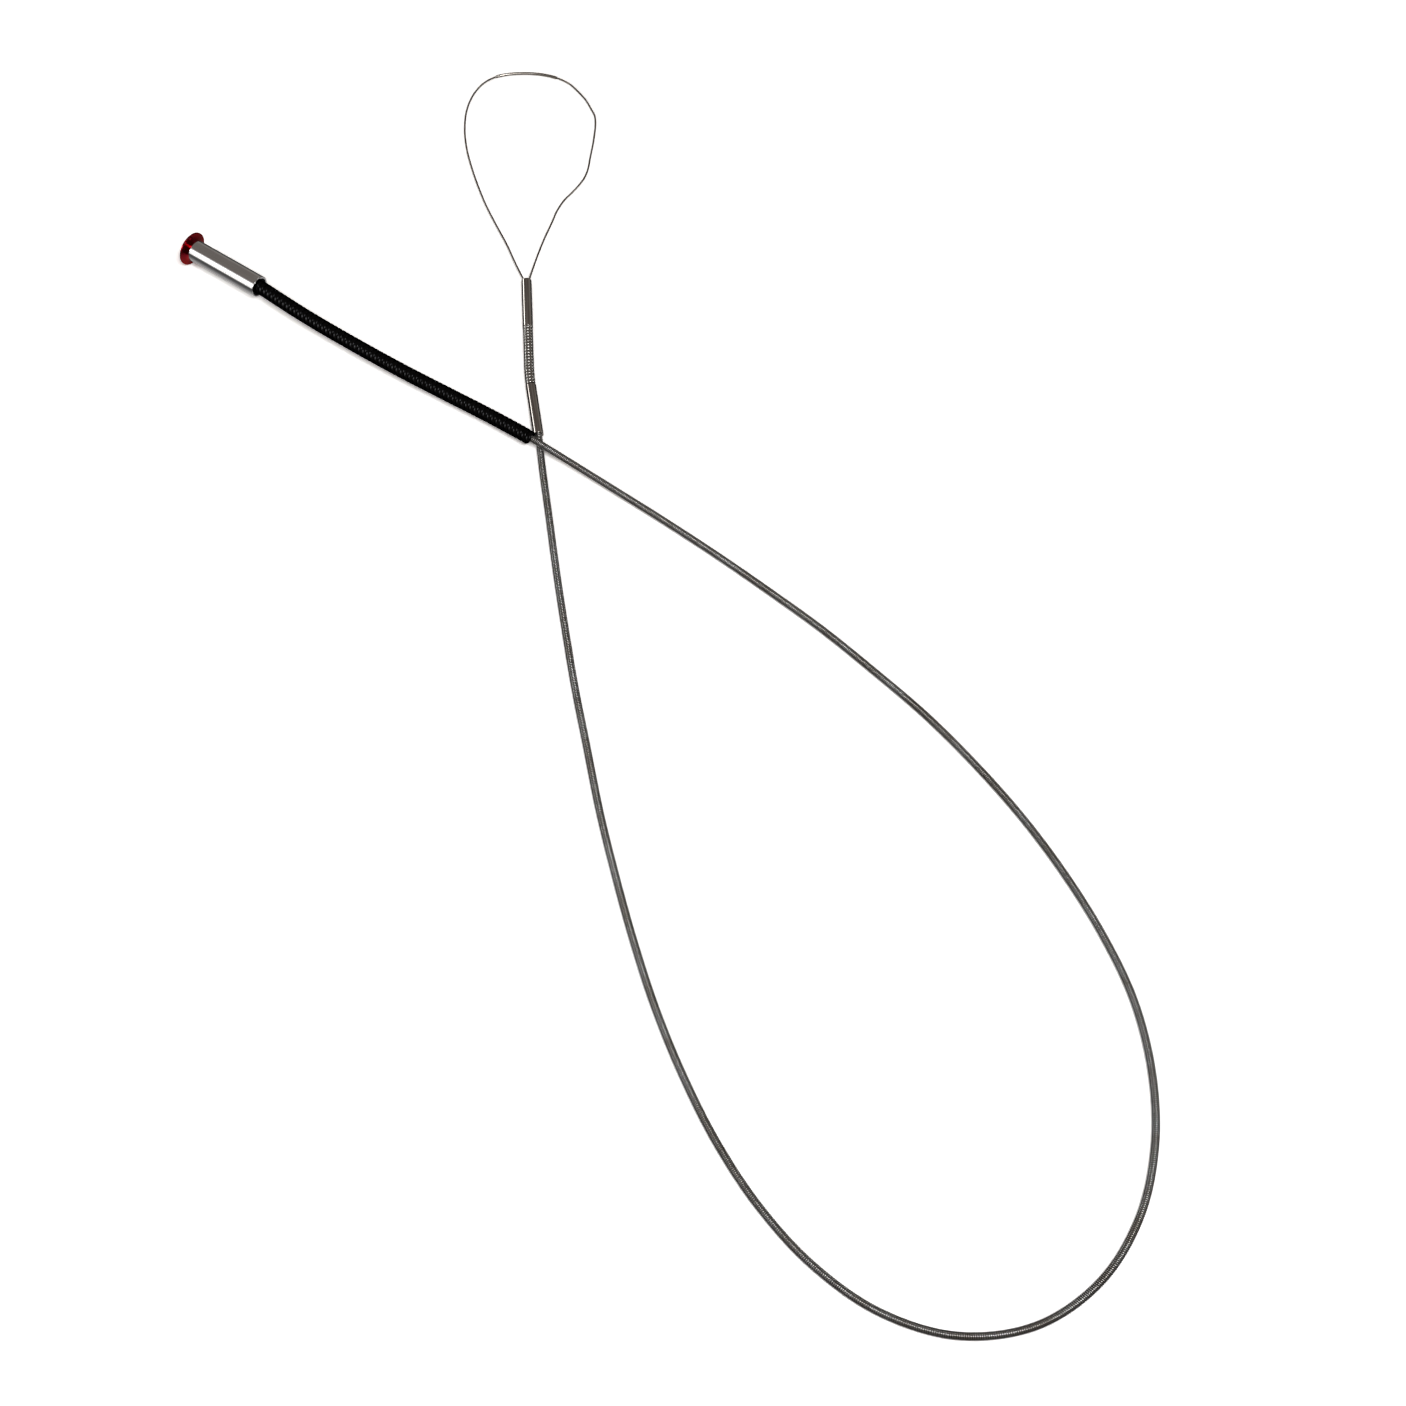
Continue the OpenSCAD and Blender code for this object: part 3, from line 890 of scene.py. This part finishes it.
def make_button():
    """The pull button: a thin flange that flares from its neck like a trumpet's bell."""
    front = -FLANGE_RISE - FLANGE_RIM
    neck = 0.4 * MM
    round_r = 0.12 * MM
    band = FLANGE_RIM - 2 * round_r
    dish = 0.18 * MM
    dish_share = 0.86
    bore = STEM_R + 0.02 * MM
    floor = -STEM_SEAT - 0.02 * MM
    flare = 18
    profile = [(front + dish, 0)]
    profile += [
        (front + dish * (1 - (share / dish_share) ** 4), share * BUTTON_R)
        for share in (0.2, 0.4, 0.6, 0.75, dish_share)
    ]
    profile += [
        (
            front + round_r - round_r * math.cos(math.pi * k / 8) + (band if k > 4 else 0),
            BUTTON_R - round_r + round_r * math.sin(math.pi * k / 8),
        )
        for k in range(8)
    ]
    for k in range(1, flare + 1):
        a = math.pi / 2 * (1 - k / flare)
        profile.append((
            -neck - (FLANGE_RISE - neck) * math.sin(a),
            BUTTON_R - (BUTTON_R - NECK_R) * math.cos(a),
        ))
    profile += [(-0.12 * MM, NECK_R), (-0.05 * MM, NECK_R - 0.07 * MM)]
    profile += [(-0.05 * MM, bore), (floor, bore), (floor, 0)]
    piece = turned("flared_button", profile, BUTTON_RED, sides=128)
    return seat(piece, "button", "pull_button")


def make_stem():
    profile = [(-STEM_SEAT, 0), (-STEM_SEAT, STEM_R), (STEM_END, STEM_R), (STEM_END, STEM_HOLE)]
    profile += [(STEM_HOLE_FLOOR, STEM_HOLE), (STEM_HOLE_FLOOR, 0)]
    return seat(turned("stem_rod", profile, STEM_STEEL), "button", "stem")


def make_return_spring():
    """The return spring, wound between the front bush and the piston."""
    wire = 0.6 * MM
    start = FRONT_BUSH_LEN + wire / 2 + 0.05 * MM
    end = PISTON_START - wire / 2 - 0.05 * MM
    line = [Vector((start + (end - start) * k / 20, 0, 0)) for k in range(21)]
    piece = along_path(
        "return_coil", WOUND, line, SPRING_STEEL, turns=7.0, steps_per_turn=32,
        coil_radius=(STEM_R + BARREL_BORE) / 2, wire_width=wire, wire_height=wire, wire_sides=12,
    )
    seat(piece, "handle", "return_spring")
    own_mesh(piece)


make_barrel()
make_front_bush()
make_end_bush()
make_button()
make_stem()
make_return_spring()


# ---------------------------------------------------------------- tip
def make_ferrules():
    lower = turned(
        "lower_ferrule_tube", tube_profile(0, FERRULE_LEN, LOWER_BORE, FERRULE_R, 0.18 * MM),
        FERRULE_LOWER, lower_place(),
    )
    seat(lower, "handle", "lower_ferrule")
    upper = turned(
        "upper_ferrule_tube", tube_profile(-FERRULE_LEN, 0, UPPER_BORE, FERRULE_R, 0.18 * MM),
        FERRULE_UPPER, mouth_place(),
    )
    seat(upper, "tip", "upper_ferrule")


def make_flex_spring():
    """The flex spring in two halves, split at the middle of its bent axis."""
    line = flex_line()
    whole = length_of(line)
    middle = whole / 2
    wire_width, wire_height = FLEX_LEN / FLEX_TURNS * 0.99, 0.95 * MM
    for name, start, end, bodies, zone in (
        ("flex_coil_lower", 0, middle, ("handle", "flex"), (middle - BEND_ZONE, middle)),
        ("flex_coil_upper", middle, whole, ("flex", "tip"), (middle, middle + BEND_ZONE)),
    ):
        part = between(line, start + 0.05 * MM, end - 0.02 * MM)
        piece = along_path(
            name, WOUND, part, SPRING_STEEL, turns=FLEX_TURNS / 2, steps_per_turn=32,
            coil_radius=FLEX_R - wire_height / 2, wire_width=wire_width,
            wire_height=wire_height, wire_sides=12, squareness=0.2,
        )
        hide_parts("flex_spring")
        ends = [between(line, s, s + 0.1 * MM)[0] for s in zone]
        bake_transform(piece)


make_ferrules()
make_flex_spring()


# ---------------------------------------------------------------- noose
def drawn_wire_tree():
    """A round wire along a path curve."""
    tree, given, result = new_group(
        "Drawn wire",
        "GeometryNodeTree",
        [
            ("Path", "Geometry", None),
            ("Step", "Float", 0.001),
            ("Radius", "Float", 0.0004),
            ("Sides", "Int", 12),
            ("Material", "Material", None),
        ],
        [("Mesh", "Geometry", None)],
    )
    path = put(tree, "GeometryNodeResampleCurve", given["Path"], mode="LENGTH")
    give(tree, path.inputs["Length"], given["Step"])
    section = put(tree, "GeometryNodeCurvePrimitiveCircle", mode="RADIUS")
    give(tree, section.inputs["Resolution"], given["Sides"])
    give(tree, section.inputs["Radius"], given["Radius"])
    wire_mesh(tree, given, result, path.outputs[0], section.outputs["Curve"])
    return tree


def make_splice(line):
    """The sleeve round the wire's two ends, with its rims bevelled."""
    stretch = between(line, SPLICE_FROM, SPLICE_FROM + SPLICE_LEN)
    whole = length_of(stretch)
    bevel = 0.06 * MM
    rows = 24
    steps = [whole * k / rows for k in range(1, rows)]
    profile = [(0, SPLICE_BORE), (0, SPLICE_R - bevel), (bevel, SPLICE_R)]
    profile += [(s, SPLICE_R) for s in steps]
    profile += [(whole - bevel, SPLICE_R), (whole, SPLICE_R - bevel), (whole, SPLICE_BORE)]
    profile += [(s, SPLICE_BORE) for s in reversed(steps)]
    piece = along_axis("splice_tube", stretch, 24, profile, SPLICE_STEEL)
    return seat(piece, "tip", "splice_sleeve")


def make_noose():
    """The noose's wire, leg to leg, and the splice sleeve round its ends."""
    line = noose_line()
    wire = along_path(
        "noose_wire", drawn_wire_tree(), line, NOOSE_WIRE, step=0.7 * MM, radius=NOOSE_R, sides=12
    )
    seat(wire, "tip", "wire_noose")
    for piece in (wire, make_splice(line)):
        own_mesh(piece)


make_noose()


# ---------------------------------------------------------------- floor and light
FLOOR_PAPER = 0.7
FLOOR_SEEN = 1.9
FLOOR_GLOW = 0.05
FLOOR_SLANT = 0.08
FLOOR_FALL = 3.5
FLOOR_HALF = 4.0
FLOOR_GAP = 0.04 * MM


def grey(level):
    return (level, level, level, 1)


def make_floor():
    """A plain pale floor that keeps the part's shadow. The camera sees it whiter than the light
    that it gives back, and polished metal sees it dim at a slant."""
    material = bpy.data.materials.new("floor_pale")
    material.use_nodes = True
    tree = material.node_tree
    tree.nodes.clear()
    paper = put(tree, "ShaderNodeBsdfDiffuse", grey(FLOOR_PAPER))
    white = put(tree, "ShaderNodeBsdfDiffuse", grey(FLOOR_SEEN))
    glow = put(tree, "ShaderNodeEmission", grey(1), FLOOR_GLOW)
    both = put(tree, "ShaderNodeAddShader", white.outputs[0], glow.outputs[0])
    dark = put(tree, "ShaderNodeEmission", grey(FLOOR_SLANT), 1.0)
    slant = tree.nodes.new("ShaderNodeLayerWeight").outputs["Facing"]
    square_on = calc(tree, "POWER", calc(tree, "SUBTRACT", 1.0, slant), FLOOR_FALL)
    mirrored = put(tree, "ShaderNodeMixShader", square_on, dark.outputs[0], both.outputs[0])
    ray = tree.nodes.new("ShaderNodeLightPath")
    seen = calc(tree, "MAXIMUM", ray.outputs["Is Camera Ray"], ray.outputs["Is Transmission Ray"])
    pick = put(tree, "ShaderNodeMixShader", seen, paper.outputs[0], both.outputs[0])
    pick = put(
        tree, "ShaderNodeMixShader", ray.outputs["Is Glossy Ray"], pick.outputs[0],
        mirrored.outputs[0],
    )
    end = tree.nodes.new("ShaderNodeOutputMaterial")
    tree.links.new(pick.outputs[0], end.inputs["Surface"])
    mesh = bpy.data.meshes.new("floor")
    z = FLOOR - FLOOR_GAP
    corners = [(x * FLOOR_HALF, y * FLOOR_HALF, z) for x, y in ((-1, -1), (1, -1), (1, 1), (-1, 1))]
    mesh.from_pydata(corners, [], [(0, 1, 2, 3)])
    mesh.materials.append(material)
    floor = add_object("floor", mesh)


def make_world():
    """Dim warm surroundings."""
    world = bpy.data.worlds.new("studio")
    bpy.context.scene.world = world
    world.use_nodes = True
    tree = world.node_tree
    tree.nodes.clear()
    spot = tree.nodes.new("ShaderNodeTexCoord").outputs["Generated"]
    split = put(tree, "ShaderNodeSeparateXYZ", spot)
    ramp = put(tree, "ShaderNodeValToRGB", split.outputs[2])
    stops = ramp.color_ramp.elements
    stops[0].position, stops[0].color = 0.15, (0.27, 0.25, 0.23, 1)
    stops[1].position, stops[1].color = 0.45, (0.172, 0.154, 0.14, 1)
    ground = put(tree, "ShaderNodeBackground", ramp.outputs[0], 1.0)
    end = tree.nodes.new("ShaderNodeOutputWorld")
    tree.links.new(ground.outputs[0], end.inputs["Surface"])


def soft_box(name, target, way, along, distance, width, height, radiance):
    """A rectangular lamp that faces a target, seen from it in the direction way, with its width
    along a line."""
    way = Vector(way).normalized()
    along = Vector(along)
    along = (along - way * along.dot(way)).normalized()
    up = way.cross(along)
    lamp = bpy.data.lights.new(name, "AREA")
    lamp.shape = "RECTANGLE"
    lamp.size, lamp.size_y = width, height
    lamp.energy = radiance * math.pi * width * height
    made = add_object(name, lamp)
    made.rotation_euler = Matrix((along, up, way)).transposed().to_euler()
    made.location = Vector(target) + way * distance


def front_way(angle):
    """Direction that the handle mirrors to the camera from so many degrees above the front."""
    a = math.radians(angle)
    return (-0.53, -0.848 * math.cos(a), 0.848 * math.sin(a))


make_floor()
make_world()
HANDLE = (0.5 * BARREL_LEN, 0, 0)
TIP = (0.145, 0.045, TIP_Z)
LOOP = (0.3, -0.13, 0)
ACROSS = (1, 0, 0)

# Name, target, way to the lamp, line of its width, distance, width, height and radiance
for lamp in (
    ("front_low", HANDLE, front_way(14), ACROSS, 1.2, 0.4, 0.27, 1.15),
    ("front_high", HANDLE, front_way(36), ACROSS, 1.2, 0.4, 0.36, 5.0),
    ("front_top", HANDLE, front_way(50), ACROSS, 1.22, 0.4, 0.34, 0.8),
    ("left_side", TIP, (-0.975, 0, 0.222), (-0.69, 0.72, 0), 1.5, 0.5, 0.26, 4.5),
    ("right_low", TIP, (0.78, 0.58, 0.23), (0, 0, 1), 1.3, 0.3, 0.3, 6.0),
    ("key", LOOP, (0.4, -0.15, 0.9), ACROSS, 1.3, 0.36, 0.36, 15.0),
    ("fill", LOOP, (0.13, -0.28, 0.95), ACROSS, 1.3, 0.7, 0.7, 1.8),
):
    soft_box(*lamp)

bpy.context.scene.view_settings.view_transform = "Standard"
